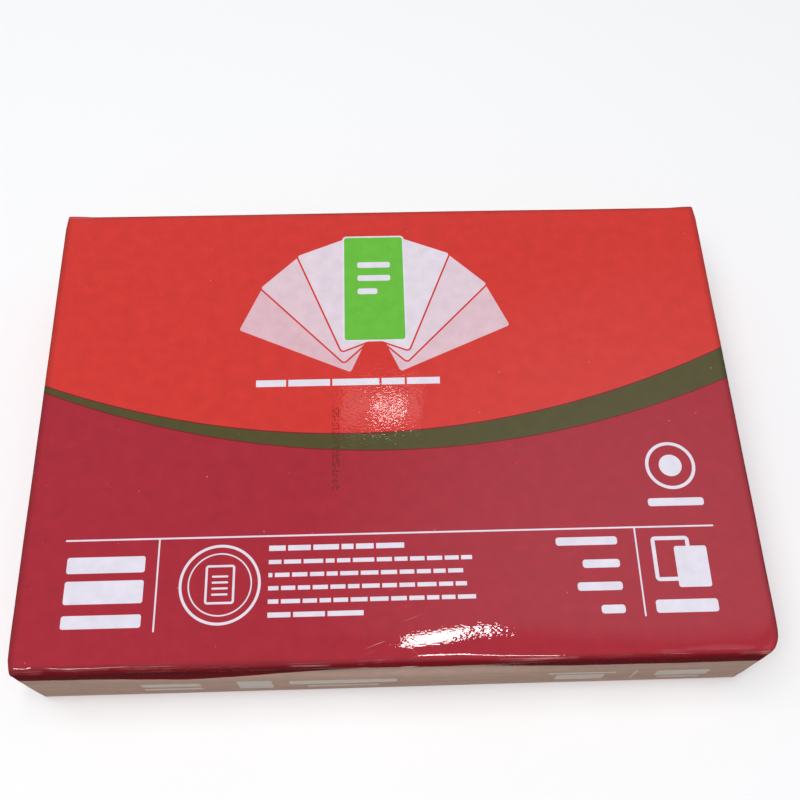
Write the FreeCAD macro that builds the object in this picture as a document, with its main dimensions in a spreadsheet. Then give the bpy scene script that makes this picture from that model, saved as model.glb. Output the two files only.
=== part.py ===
# A sealed ream of copy paper: a stack of sheets shut in one glossy printed wrapper.
# The wrapper is one sheet. It goes round the stack lengthwise, laps on the underside, and is folded
# shut at both short ends like a parcel: side tucks first, then the bottom flap up, then the top flap
# down over it. X runs along the sheets' long side, Y from the front to the back, Z up. The origin is
# the middle of the foot. All lengths are millimetres.

import FreeCAD
import Part
import Sketcher

import math
import os

NODE = "wrapped_ream"

# Driving dimensions: name, value, what it is.
SIZES = [
    ("sheet_length", 297.0, "long side of a sheet"),
    ("sheet_width", 210.0, "short side of a sheet"),
    ("sheet_count", 500.0, "sheets in the stack"),
    ("sheet_caliper", 0.096, "thickness of one sheet"),
    ("trapped_air", 0.7, "air left over the whole height of the stack"),
    ("side_slack", 0.6, "play of the stack between the long sides of the wrapper"),
    ("end_slack", 0.5, "play of the stack between the folded ends"),
    ("wrap_thickness", 0.15, "one thickness of the laminated wrapper"),
    ("front_roll", 3.6, "radius of the worn fold over the front top edge"),
    ("shoulder_run", 15.0, "how far behind the front the top begins to sag towards it"),
    ("shoulder_radius", 70.0, "radius of that sag"),
    ("back_roll", 2.4, "radius of the fold over the back top edge"),
    ("base_roll", 1.8, "radius of the folds along the foot"),
    ("end_fold", 1.1, "radius of the folds round the short ends"),
    ("flap_overlap", 22.0, "height over which the two flaps of an end lie on each other"),
    ("lap_past_middle", 28.0, "how far behind the middle of the underside the outer edge lies"),
]

# Sizes that follow from the driving ones, as formulas over the sheet's cells.
HALF_WIDTH = "((sizes.sheet_width + sizes.side_slack) / 2 + sizes.wrap_thickness)"
HEIGHT = "(sizes.sheet_count * sizes.sheet_caliper + sizes.trapped_air + 2 * sizes.wrap_thickness)"
TUCK_REACH = "((sizes.sheet_length + sizes.end_slack) / 2 + sizes.wrap_thickness)"
FLAP_DEPTH = f"(({HEIGHT} + sizes.flap_overlap) / 2)"

# A flap is doubled where its slanted sides are folded back, so each flap adds two thicknesses to its end.
FLAP_LAYERS = 2
BOTTOM_REACH = f"({TUCK_REACH} + {FLAP_LAYERS} * sizes.wrap_thickness)"
TOP_REACH = f"({TUCK_REACH} + {2 * FLAP_LAYERS} * sizes.wrap_thickness)"

# How far a cut's outline stands clear of the pack on its open sides.
CLEAR = 5.0

# How near two positions must be to count as one.
NEAR = 1e-6

START, END, CENTRE = 1, 2, 3


def value(formula):
    """The number that a formula over the driving dimensions comes to."""
    names = {name: number for name, number, _ in SIZES}
    for name in sorted(names, key=len, reverse=True):
        formula = formula.replace(f"sizes.{name}", repr(names[name]))
    return FreeCAD.Units.Quantity(formula).Value


def make_sheet(doc):
    """The driving dimensions, one named cell each."""
    sheet = doc.addObject("Spreadsheet::Sheet", "sizes")
    for row, (name, number, meaning) in enumerate(SIZES, start=1):
        sheet.set(f"A{row}", meaning)
        sheet.set(f"B{row}", str(number))
        sheet.setAlias(f"B{row}", name)
    doc.recompute()
    return sheet


def add_sketch(body, name):
    """An empty sketch on the body's plane across the pack: its x is Y and its y is Z."""
    sketch = body.newObject("Sketcher::SketchObject", name)
    plane = next(f for f in body.Origin.OriginFeatures if f.Role == "YZ_Plane")
    sketch.AttachmentSupport = (plane, "")
    sketch.MapMode = "FlatFace"
    return sketch


def drive(sketch, name, constraint, formula):
    """Adds a named dimension and ties it to the driving dimensions."""
    number = sketch.addConstraint(constraint)
    sketch.renameConstraint(number, name)
    sketch.setExpression(f"Constraints.{name}", formula)


def draw_outline(sketch, name, corners):
    """A closed outline of straight lines through corners, each a pair of formulas."""
    points = [FreeCAD.Vector(value(y), value(z), 0) for y, z in corners]
    lines = []
    for here, there in zip(points, points[1:] + points[:1]):
        lines.append(sketch.addGeometry(Part.LineSegment(here, there), False))
    for line, after in zip(lines, lines[1:] + lines[:1]):
        sketch.addConstraint(Sketcher.Constraint("Coincident", line, END, after, START))
    for number, (line, point, (y, z)) in enumerate(zip(lines, points, corners)):
        drive(sketch, f"{name}_y{number}", Sketcher.Constraint("DistanceX", line, START, point.x), y)
        drive(sketch, f"{name}_z{number}", Sketcher.Constraint("DistanceY", line, START, point.y), z)


def section_sketch(body):
    """The pack cut across: flat foot, upright sides, and a top that sags and rolls over the front edge."""
    half, height = value(HALF_WIDTH), value(HEIGHT)
    roll, back, base = value("sizes.front_roll"), value("sizes.back_roll"), value("sizes.base_roll")
    run, sag = value("sizes.shoulder_run"), value("sizes.shoulder_radius")
    # The sag meets the roll where both lean by this much from upright.
    lean = math.acos((run - roll) / (sag - roll))
    roll_z = height - sag + (sag - roll) * math.sin(lean)
    quarter = math.pi / 2

    sketch = add_sketch(body, "section")

    def line(y0, z0, y1, z1):
        return sketch.addGeometry(
            Part.LineSegment(FreeCAD.Vector(y0, z0, 0), FreeCAD.Vector(y1, z1, 0)), False
        )

    def arc(y, z, radius, start, end):
        circle = Part.Circle(FreeCAD.Vector(y, z, 0), FreeCAD.Vector(0, 0, 1), radius)
        return sketch.addGeometry(Part.ArcOfCircle(circle, start, end), False)

    foot = line(-half + base, 0, half - base, 0)
    back_base = arc(half - base, base, base, -quarter, 0)
    back_side = line(half, base, half, height - back)
    back_top = arc(half - back, height - back, back, 0, quarter)
    top = line(half - back, height, -half + run, height)
    shoulder = arc(-half + run, height - sag, sag, quarter, math.pi - lean)
    front_top = arc(-half + roll, roll_z, roll, math.pi - lean, math.pi)
    front_side = line(-half, roll_z, -half, base)
    front_base = arc(-half + base, base, base, math.pi, math.pi + quarter)

    around = [foot, back_base, back_side, back_top, top, shoulder, front_top, front_side, front_base]
    for here, after in zip(around, around[1:] + around[:1]):
        sketch.addConstraint(Sketcher.Constraint("Tangent", here, END, after, START))
    for level in (foot, top):
        sketch.addConstraint(Sketcher.Constraint("Horizontal", level))
    for upright in (back_side, front_side):
        sketch.addConstraint(Sketcher.Constraint("Vertical", upright))
    drive(sketch, "foot_z", Sketcher.Constraint("DistanceY", foot, START, 0), "0")
    drive(sketch, "top_z", Sketcher.Constraint("DistanceY", top, START, height), HEIGHT)
    drive(sketch, "back_y", Sketcher.Constraint("DistanceX", back_side, START, half), HALF_WIDTH)
    drive(sketch, "front_y", Sketcher.Constraint("DistanceX", front_side, START, -half), f"-{HALF_WIDTH}")
    drive(
        sketch,
        "sag_start",
        Sketcher.Constraint("DistanceX", shoulder, START, run - half),
        f"sizes.shoulder_run - {HALF_WIDTH}",
    )
    radii = [
        ("back_roll", back_top, back),
        ("front_roll", front_top, roll),
        ("shoulder_radius", shoulder, sag),
    ]
    for name, curve, radius in radii:
        drive(sketch, name, Sketcher.Constraint("Radius", curve, radius), f"sizes.{name}")
    for name, curve in (("front_base", front_base), ("back_base", back_base)):
        drive(sketch, name, Sketcher.Constraint("Radius", curve, base), "sizes.base_roll")
    return sketch


def add_block(doc, name, reach):
    """The whole section run out to reach either side of the middle, its end folds rounded."""
    body = doc.addObject("PartDesign::Body", name)
    pad = body.newObject("PartDesign::Pad", "block")
    pad.Profile = section_sketch(body)
    pad.SideType = "Symmetric"
    pad.setExpression("Length", f"2 * {reach}")
    doc.recompute()
    ends = []
    for number, edge in enumerate(pad.Shape.Edges, start=1):
        box = edge.BoundBox
        if box.XLength < NEAR and abs(abs(box.Center.x) - value(reach)) < NEAR:
            ends.append(f"Edge{number}")
    fold = body.newObject("PartDesign::Fillet", "end_folds")
    fold.Base = (pad, ends)
    fold.setExpression("Radius", "sizes.end_fold")
    body.Tip = fold
    doc.recompute()
    return body


def add_pocket(body, sketch, name):
    """Cuts the sketch's area right through the body, both ways along X."""
    pocket = body.newObject("PartDesign::Pocket", name)
    pocket.Profile = sketch
    pocket.SideType = "Symmetric"
    pocket.Type = "ThroughAll"
    body.Tip = pocket
    return pocket


def cut_lap(body):
    """Behind the wrapper's outer edge the underside lies one thickness higher, round to the back."""
    half, base = value(HALF_WIDTH), value("sizes.base_roll")
    lift, edge = value("sizes.wrap_thickness"), value("sizes.lap_past_middle")
    sketch = add_sketch(body, "lap")

    corners = [(edge, -CLEAR), (edge, lift), (half - base, lift)]
    beyond = [(half, base + lift), (half + CLEAR, base + lift), (half + CLEAR, -CLEAR)]
    run = [FreeCAD.Vector(y, z, 0) for y, z in corners]
    rest = [FreeCAD.Vector(y, z, 0) for y, z in beyond]
    step = sketch.addGeometry(Part.LineSegment(run[0], run[1]), False)
    under = sketch.addGeometry(Part.LineSegment(run[1], run[2]), False)
    circle = Part.Circle(FreeCAD.Vector(half - base, base + lift, 0), FreeCAD.Vector(0, 0, 1), base)
    corner = sketch.addGeometry(Part.ArcOfCircle(circle, -math.pi / 2, 0), False)
    out = sketch.addGeometry(Part.LineSegment(rest[0], rest[1]), False)
    down = sketch.addGeometry(Part.LineSegment(rest[1], rest[2]), False)
    home = sketch.addGeometry(Part.LineSegment(rest[2], run[0]), False)

    for here, after in ((step, under), (out, down), (down, home), (home, step)):
        sketch.addConstraint(Sketcher.Constraint("Coincident", here, END, after, START))
    sketch.addConstraint(Sketcher.Constraint("Tangent", under, END, corner, START))
    sketch.addConstraint(Sketcher.Constraint("Coincident", corner, END, out, START))
    for level in (under, out, home):
        sketch.addConstraint(Sketcher.Constraint("Horizontal", level))
    for upright in (step, down):
        sketch.addConstraint(Sketcher.Constraint("Vertical", upright))
    sketch.addConstraint(Sketcher.Constraint("Horizontal", corner, CENTRE, corner, END))
    drive(sketch, "edge_y", Sketcher.Constraint("DistanceX", step, START, edge), "sizes.lap_past_middle")
    drive(sketch, "lift", Sketcher.Constraint("DistanceY", under, START, lift), "sizes.wrap_thickness")
    drive(sketch, "back_y", Sketcher.Constraint("DistanceX", corner, END, half), HALF_WIDTH)
    drive(sketch, "roll", Sketcher.Constraint("Radius", corner, base), "sizes.base_roll")
    clear_y = f"{HALF_WIDTH} + {CLEAR}"
    drive(sketch, "clear_y", Sketcher.Constraint("DistanceX", down, START, half + CLEAR), clear_y)
    drive(sketch, "clear_z", Sketcher.Constraint("DistanceY", step, START, -CLEAR), f"-{CLEAR}")
    add_pocket(body, sketch, "lap_step")


def keep_flap(body, root, tip):
    """Leaves only a flap's shape, seen from the end: it narrows at 45 degrees from root to tip.

    root is the height of the fold that carries the flap, and tip that of its free edge.
    """
    outward = CLEAR if value(root) > value(tip) else -CLEAR
    reach = f"({HALF_WIDTH} - {FLAP_DEPTH})"
    wide = f"({HALF_WIDTH} + {CLEAR})"
    open_z = f"({root} + {outward})"
    flap = [(f"-{wide}", open_z), (wide, open_z), (reach, tip), (f"-{reach}", tip)]
    low, high, side = f"-{2 * CLEAR}", f"({HEIGHT} + {2 * CLEAR})", f"({HALF_WIDTH} + {2 * CLEAR})"
    frame = [(f"-{side}", low), (side, low), (side, high), (f"-{side}", high)]
    sketch = add_sketch(body, "outside_the_flap")
    draw_outline(sketch, "flap", flap)
    draw_outline(sketch, "frame", frame)
    add_pocket(body, sketch, "flap_shape")


def cut_flap_lap(body):
    """The wrapper's outer edge goes on up the bottom flap: behind it the flap is one thickness thinner."""
    edge, side, high = "sizes.lap_past_middle", f"({HALF_WIDTH} + {CLEAR})", f"({HEIGHT} + {CLEAR})"
    sketch = add_sketch(body, "lap_on_flap")
    sketch.setExpression("AttachmentOffset.Base.z", f"{BOTTOM_REACH} - sizes.wrap_thickness")
    draw_outline(sketch, "lap", [(edge, f"-{CLEAR}"), (side, f"-{CLEAR}"), (side, high), (edge, high)])
    pocket = body.newObject("PartDesign::Pocket", "lap_on_flap_step")
    pocket.Profile = sketch
    pocket.Type = "ThroughAll"
    pocket.Reversed = True
    mirrored = body.newObject("PartDesign::Mirrored", "lap_on_both_ends")
    mirrored.Originals = [pocket]
    plane = next(f for f in body.Origin.OriginFeatures if f.Role == "YZ_Plane")
    mirrored.MirrorPlane = (plane, [""])
    body.Tip = mirrored


def check(doc):
    """Stops the build if any step failed."""
    for item in doc.Objects:
        if "Invalid" in item.State or "Error" in item.State:
            raise RuntimeError(f"{item.Name} failed: {item.State}")


def build():
    doc = FreeCAD.newDocument("ream")
    make_sheet(doc)

    # The stack in its wrapper, out to the side tucks, which are the first layer of each end.
    stack = add_block(doc, "stack_and_tucks", TUCK_REACH)
    cut_lap(stack)

    # The bottom flap folds up over the tucks.
    bottom = add_block(doc, "bottom_flap", BOTTOM_REACH)
    cut_lap(bottom)
    keep_flap(bottom, "0", FLAP_DEPTH)
    cut_flap_lap(bottom)

    # The top flap folds down over the bottom one.
    top = add_block(doc, "top_flap", TOP_REACH)
    keep_flap(top, HEIGHT, f"({HEIGHT} - {FLAP_DEPTH})")

    ream = doc.addObject("Part::MultiFuse", "ream")
    ream.Shapes = [stack, bottom, top]
    ream.Refine = True
    ream.Label = NODE
    doc.recompute()
    check(doc)
    return doc, ream


def main():
    doc, ream = build()
    shape = ream.Shape
    if shape.isNull() or not shape.isValid() or len(shape.Solids) != 1:
        raise RuntimeError(f"{ream.Label} isn't one valid solid")
    os.makedirs("parts", exist_ok=True)
    shape.exportStep(f"parts/{ream.Label}.step")
    box = shape.optimalBoundingBox(False, False)
    print(f"{ream.Label}: {box.XLength:.2f} x {box.YLength:.2f} x {box.ZLength:.2f} mm")
    print(f"volume {shape.Volume / 1000:.1f} cm3, {len(shape.Faces)} faces, foot at {box.ZMin:.4f}")


main()
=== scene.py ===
# The looks of a sealed ream of copy paper: one printed, laminated sheet folded round the stack.
# Shapes are worked out in millimetres and written to the mesh in metres. X runs along the sheets' long
# side, Y from the front to the back, Z up. The wrapper is one sheet, so every point of it also has a place
# on the flat sheet: u runs along X and on down the end flaps, v runs round the pack, and on the top face
# both equal X and Y. The print is drawn on the flat sheet.

import math

import bpy
import numpy as np
from mathutils import Euler, Matrix, Vector, noise


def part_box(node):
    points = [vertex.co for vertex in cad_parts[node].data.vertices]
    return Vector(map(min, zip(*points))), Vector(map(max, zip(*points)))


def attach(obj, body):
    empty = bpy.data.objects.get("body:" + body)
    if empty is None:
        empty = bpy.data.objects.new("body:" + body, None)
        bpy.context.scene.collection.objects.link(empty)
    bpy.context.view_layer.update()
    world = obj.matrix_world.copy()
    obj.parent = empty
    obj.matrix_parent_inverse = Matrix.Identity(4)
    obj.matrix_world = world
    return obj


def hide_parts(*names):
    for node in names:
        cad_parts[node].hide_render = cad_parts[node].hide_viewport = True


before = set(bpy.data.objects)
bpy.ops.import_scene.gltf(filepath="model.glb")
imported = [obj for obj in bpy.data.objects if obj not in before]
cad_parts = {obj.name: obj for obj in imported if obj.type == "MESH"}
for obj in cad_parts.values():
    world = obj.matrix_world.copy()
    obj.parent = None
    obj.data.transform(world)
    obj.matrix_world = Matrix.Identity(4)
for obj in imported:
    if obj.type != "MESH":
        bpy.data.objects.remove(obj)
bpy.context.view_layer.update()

MM = 0.001
NODE = "wrapped_ream"
HALF_LENGTH, HALF_WIDTH, HEIGHT = (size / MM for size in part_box(NODE)[1])

# The sheet that the wrapper is folded from, as in the part's source.
WRAP = 0.15
BACK_ROLL = 2.4
BASE_ROLL = 1.8
FRONT_ROLL = 3.6
SHOULDER_RUN = 15.0
SHOULDER_RADIUS = 70.0
END_FOLD = 1.1
LAP_EDGE = 28.0
FLAP_OVERLAP = 22.0
FLAP_DEPTH = (HEIGHT + FLAP_OVERLAP) / 2

# The lap's hidden layer, and how deep the side tucks reach under the flaps.
LAP_HIDDEN_EDGE = -8.0
LAP_LIFT = 1.4 * WRAP
TUCK_DEPTH = 42.0
TUCK_CLEAR = 1.4

# How far the loose sheet lies inside the pack's outline.
TOP_INSET = 0.32
SIDE_INSET = 0.35
FOOT_INSET = 0.02

# How far from the middle each layer of an end lies, over how long a run the sheet gets there, and how far
# a tuck dips by a corner. Then how a flap's folded sides are rounded: radius, its first rows, and angles.
TUCK_LEVEL = HALF_LENGTH - 0.86
INNER_LAP_LEVEL = HALF_LENGTH - 0.64
BOTTOM_FLAP_LEVEL = HALF_LENGTH - 0.44
TOP_FLAP_LEVEL = HALF_LENGTH - 0.22
LAYER_RUN = 6.0
CORNER_DIP = 0.35
EDGE_CURL = 0.16
CURL_ROWS = 4
CURL_ANGLES = (60, 120, 180)

# How deep the paper folded back behind such a side is, and how deep it is in the first rows at a corner,
# where a deeper one would come through the flap. Then the row from which it deepens, and over how many.
WEB_DEPTH = 3.0
WEB_LEAST = 0.05
WEB_FIRST_ROW = 2
WEB_ROWS = 5

# Mesh density: stations along the pack, steps round a fold at the ends, rows down a flap and a tuck.
STATIONS = 200
FOLD_STEPS = 6
FLAP_ROWS = 26
TUCK_ROWS = 20

# How far from the front edge the underside's mesh is finer, so that it follows the soft corners.
SOFT_FRONT = 14.0

# How the front roll and the shoulder's run change along the pack: a shift, a wave's height and length,
# and a bulge's height, place and half length. The back roll is tighter near both ends.
ROLL_CHANGE = (-0.4, 0.7, 31.0, 1.7, 12, 34)
RUN_CHANGE = (-0.8, 1.6, 44.0, 4.5, 44, 30)
BACK_ROLL_TIGHTER = 1.2

# Dents in the front side: place along the pack and half length, height and half height, depth.
DENTS = [(12, 46, 34.5, 8, 1.2), (-70, 40, 38, 7, 0.7)]

# Corners that handling has softened: end, run that holds the corner, how far it is pressed in.
SOFT_CORNERS = [
    (1, "front roll", 0.3),
    (1, "back roll", 0.05),
    (-1, "back roll", 0.05),
    (1, "front base", 0.6),
    (-1, "front base", 0.4),
    (1, "back base", 0.3),
    (-1, "back base", 0.4),
]
SOFT_CORNER_REACH = 5.5

# The right end isn't quite square to the long sides: its back corner lies this far in.
END_SKEW = 2.0

# The upright front edges are soft: at each end, how far in the edge lies, and where the rounding begins.
SOFT_UPRIGHTS = {1: (4.0, 10.5), -1: (0.0, 2.5)}

# Creases in the worn front edge, as lines on the flat sheet: points, width, depth (ridges are negative).
CREASES = [
    ([(-143, -102.0), (-126, -104.2), (-104, -103.2), (-84, -104.0)], 1.0, -0.3),
    ([(-149, -93), (-143, -101), (-131, -108), (-120, -112)], 1.7, 0.2),
    ([(-90, -105.2), (-80, -104.4), (-68, -105.6)], 1.2, -0.3),
    ([(-12, -97.4), (-5, -98.1), (3, -98.9)], 0.7, -0.03),
    ([(26, -102.6), (36, -103.0), (51, -103.1), (68, -103.8)], 0.8, -0.11),
    ([(-18, -108.4), (0, -107.6), (18, -107.8), (38, -109.0)], 1.1, -0.3),
    ([(30, -106.0), (44, -105.4), (58, -106.0)], 0.7, -0.15),
    ([(58, -105.5), (88, -104.4), (112, -105.3)], 1.2, 0.3),
    ([(108, -103.6), (126, -102.6), (146, -103.4)], 0.9, -0.3),
    ([(149, -90), (146, -99), (138, -107), (127, -113)], 1.2, 0.3),
]

# How worn each long edge is, from 0 to 1, then the folds round the ends and a flap's free and folded edges.
# These values also place the painted highlight lines along the folds.
EDGE_WEAR = {"front roll": 1.0, "back roll": 0.6, "front base": 0.5, "back base": 0.5}
END_FOLD_WEAR = 0.75
FREE_EDGE_WEAR = 0.35
FOLDED_EDGE_WEAR = 0.8

# Edges that turn by more than this many degrees are drawn sharp.
SHARP_TURN = 66

# The photograph's camera, fitted to the pack's outline. The picture's middle lies below the lens's axis.
CAMERA_PLACE = (-7.67, -185.35, 461.25)
CAMERA_TURN = (27.11, -0.84, -1.72)
FOCAL_PIXELS = 1055.0
AXIS_ABOVE_MIDDLE = 40.0
PICTURE_PIXELS = 800.0
SENSOR = 36.0

# Inks, papers, painted light and the floor, as linear colours.
RED = (0.6, 0.032, 0.024, 1)
CRIMSON = (0.36, 0.016, 0.03, 1)
LINE_RED = (0.16, 0.012, 0.012, 1)
# Painted shade: near the folds, where the pack turns away from the light, the colour is multiplied by this.
FOLD_SHADE = (0.5, 0.55, 0.45, 1)
OLIVE = (0.075, 0.064, 0.016, 1)
TAN = (0.66, 0.45, 0.36, 1)
GREEN = (0.13, 0.47, 0.04, 1)
WHITE = (0.72, 0.68, 0.76, 1)
PALE_TAN = (0.93, 0.86, 0.78, 1)
# Painted highlight: the white of a thin glint on a crease, painted into the print.
PAINTED_GLINT = (1.0, 0.96, 0.94, 1)
STAMP_INK = (0.08, 0.008, 0.01, 1)
# Pale pink of rubbed ink, also used for painted highlight lines along the folds.
WORN_INK_AND_SHEEN = (0.78, 0.42, 0.4, 1)
PAPER_DARK = (0.62, 0.56, 0.52, 1)
PAPER_LIGHT = (0.8, 0.76, 0.72, 1)
FLOOR_PAINT = (0.9, 0.9, 0.9, 1)

# The surroundings that light the pack and that the film reflects: low down, high up, and a glow one way.
# The last two are what the camera itself sees behind the floor, high up and low down.
FLOOR_SHADE = (0.02, 0.015, 0.015, 1)
SKY = (0.36, 0.37, 0.39, 1)
GLOW = (0.86, 0.9, 0.95, 1)
GLOW_WAY = (0.24, 0.24, 0.94)
BACKDROP = (1.0, 1.0, 1.0, 1)
HORIZON = (0.3, 0.305, 0.31, 1)

# Half the floor's side, in metres.
FLOOR_HALF = 12.0

# The lamps: name, place, target, size along X and Y, all in millimetres, power in watts, and whether the
# film mirrors it.
LAMPS = [
    ("soft_box", (-450, -150, 2150), (0, 0, 0), (1500, 1500), 26.0, False),
    ("ceiling_lamp", (20, 885, 2000), (0, 0, 50), (70, 18), 0.085, True),
    ("ceiling_lamp_shade", (15, 925, 2060), (0, 0, 50), (190, 90), 0.065, True),
    ("overhead_lamp", (158, -40, 2000), (0, -60, 50), (165, 260), 4.0, True),
    ("ceiling_tube_left", (-680, -480, 2000), (-680, -60, 50), (260, 180), 3.4, True),
    ("ceiling_tube_middle", (265, -950, 2000), (265, -60, 50), (190, 300), 4.8, True),
    ("ceiling_tube_right", (790, -450, 2000), (790, -60, 50), (170, 80), 0.5, True),
]


def smooth_wave(x, y, scale, seed):
    """A smooth field of about -1 to 1 over arrays x and y, whose bumps are about scale wide."""
    x, y = np.broadcast_arrays(x, y)
    places = zip(x.ravel() / scale, y.ravel() / scale)
    return np.array([noise.noise(Vector((a, b, seed))) for a, b in places]).reshape(x.shape)


def ease(t):
    """0 to 1 with a soft start and end, held outside that range."""
    t = np.clip(t, 0.0, 1.0)
    return t * t * (3 - 2 * t)


def bell(distance, width):
    """1 at distance 0, falling off to nothing over about two widths."""
    return np.exp(-((distance / width) ** 2))


def uneven(size, change, x, seed):
    """A size that differs along the pack, at each x: a shift, a wave and one bulge."""
    shift, wave, length, bulge, place, half = change
    return size + shift + wave * smooth_wave(x, 0.0, length, seed) + bulge * bell(x - place, half)


def straight(start, end, steps, normal, stations):
    """A flat stretch from start to end, each (y, z), without its first point: y, z and normals."""
    t = np.linspace(0, 1, steps + 1)[1:]
    (y0, z0), (y1, z1) = ([np.broadcast_to(value, stations)[:, None] for value in p] for p in (start, end))
    y, z = y0 + (y1 - y0) * t, z0 + (z1 - z0) * t
    return y, z, np.full_like(y, normal[0]), np.full_like(y, normal[1])


def turned(centre, radius, start, end, steps, stations):
    """A rounded stretch about centre, between two angles in degrees, without its first point."""
    t = np.linspace(0, 1, steps + 1)[1:]
    start, end, radius, cy, cz = (
        np.broadcast_to(value, stations)[:, None] for value in (start, end, radius, *centre)
    )
    angle = np.radians(start + (end - start) * t)
    return cy + radius * np.cos(angle), cz + radius * np.sin(angle), np.cos(angle), np.sin(angle)


def joined(*stretches):
    """Stretches that follow each other, as one."""
    return tuple(np.hstack(parts) for parts in zip(*stretches))


def round_the_pack(roll, run, back_roll):
    """The sheet's way round the pack at each station, from the lap's outer edge to its hidden one."""
    n = roll.shape
    lean = np.degrees(np.arccos((run - roll) / (SHOULDER_RADIUS - roll)))
    roll_z = HEIGHT - SHOULDER_RADIUS + (SHOULDER_RADIUS - roll) * np.sin(np.radians(lean))
    front, back, base, lift = -HALF_WIDTH, HALF_WIDTH, BASE_ROLL, LAP_LIFT
    near_front = front + base + SOFT_FRONT
    return {
        "lap edge": straight((LAP_EDGE, 0), (LAP_EDGE, 0), 1, (0, -1), n),
        "underside": joined(
            straight((LAP_EDGE, 0), (near_front, 0), 16, (0, -1), n),
            straight((near_front, 0), (front + base, 0), 10, (0, -1), n),
        ),
        "front base": turned((front + base, base), base, 270, 180, 6, n),
        "front side": straight((front, base), (front, roll_z), 24, (-1, 0), n),
        "front roll": turned((front + roll, roll_z), roll, 180, 180 - lean, 12, n),
        "shoulder": turned((front + run, HEIGHT - SHOULDER_RADIUS), SHOULDER_RADIUS, 180 - lean, 90, 30, n),
        "top": straight((front + run, HEIGHT), (back - back_roll, HEIGHT), 32, (0, 1), n),
        "back roll": turned((back - back_roll, HEIGHT - back_roll), back_roll, 90, 0, 8, n),
        "back side": straight((back, HEIGHT - back_roll), (back, base + lift), 14, (1, 0), n),
        "back base": turned((back - base, base + lift), base, 0, -90, 6, n),
        "inner lap": straight((back - base, lift), (LAP_HIDDEN_EDGE, lift), 12, (0, -1), n),
    }


def crease_depth(u, v):
    """How far the creases press the sheet in at each place on it."""
    depth = np.zeros(u.shape)
    for points, width, deepest in CREASES:
        lengths = [math.dist(a, b) for a, b in zip(points, points[1:])]
        nearest = np.full(u.shape, np.inf)
        along = np.zeros(u.shape)
        done = 0.0
        for (u0, v0), (u1, v1), length in zip(points, points[1:], lengths):
            t = np.clip(((u - u0) * (u1 - u0) + (v - v0) * (v1 - v0)) / length**2, 0, 1)
            away = np.hypot(u - u0 - t * (u1 - u0), v - v0 - t * (v1 - v0))
            closer = away < nearest
            along[closer] = (done + t * length)[closer]
            nearest = np.minimum(nearest, away)
            done += length
        depth += deepest * bell(nearest, width) * np.sin(np.pi * along / done) ** 0.7
    return depth


def pulled_in(side, y):
    """How far in an end lies at y: the pack isn't quite square, and its upright front edges are soft."""
    deepest, reach = SOFT_UPRIGHTS[side]
    share = np.clip(1 - (y + HALF_WIDTH) / reach, 0, 0.995)
    soft = deepest * (1 - np.sqrt(1 - share**2))
    return soft + (END_SKEW * (y + HALF_WIDTH) / (2 * HALF_WIDTH) if side > 0 else 0)


class Sheet:
    """The wrapper while it is being folded: points in millimetres, places on the flat sheet, and faces."""

    def __init__(self):
        self.points, self.flat, self.wear, self.faces = [], [], [], []

    def add(self, points, flat, wear):
        """Adds points, given as arrays whose last axis is the point's, and returns their numbers."""
        first = len(self.points)
        self.points.extend(np.reshape(points, (-1, 3)).tolist())
        self.flat.extend(np.reshape(flat, (-1, 2)).tolist())
        self.wear.extend(np.ravel(wear).tolist())
        return first + np.arange(np.size(wear)).reshape(np.shape(wear))

    def join(self, numbers, flipped=False):
        """Faces between neighbouring rows and columns of numbers. Repeated corners close up."""
        for row, after in zip(numbers, numbers[1:]):
            for a, b, c, d in zip(row, after, after[1:], row[1:]):
                corners = list(dict.fromkeys(int(k) for k in (a, b, c, d)))
                if len(corners) > 2:
                    self.faces.append(corners[::-1] if flipped else corners)


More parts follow.
